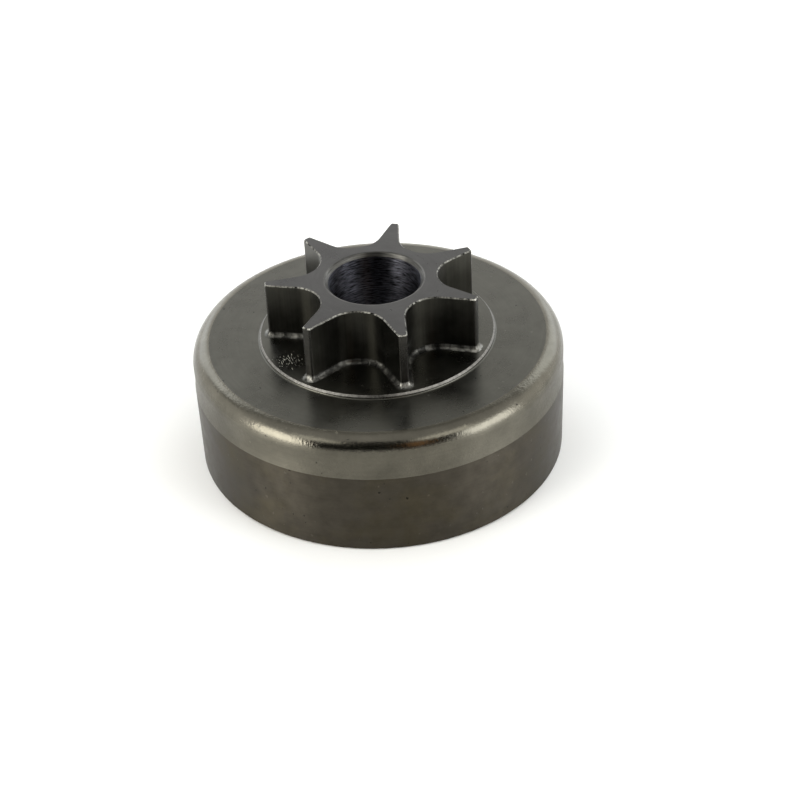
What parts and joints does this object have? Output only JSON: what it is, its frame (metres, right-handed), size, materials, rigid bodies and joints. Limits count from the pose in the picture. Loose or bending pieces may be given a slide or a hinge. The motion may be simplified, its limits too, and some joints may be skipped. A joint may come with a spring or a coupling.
{
  "type": "chainsaw clutch drum with spur sprocket",
  "caption": "Dark steel clutch drum, open below, with a toothed spur sprocket standing on a low flange on its face and a plain bore right through.",
  "frame": {"origin": "centre of the circle that the drum's open rim stands on", "axes": "+Z along the bore, from the open rim towards the teeth; -Y is the side nearest the camera in the picture"},
  "size_m": [0.0652, 0.0652, 0.0331],
  "materials": {
    "blackened_steel": "turned and milled, then oil-blackened to a dull dark grey"
  },
  "bodies": {
    "root": {"spur_sprocket_drum": "blackened_steel"}
  },
  "joints": []
}
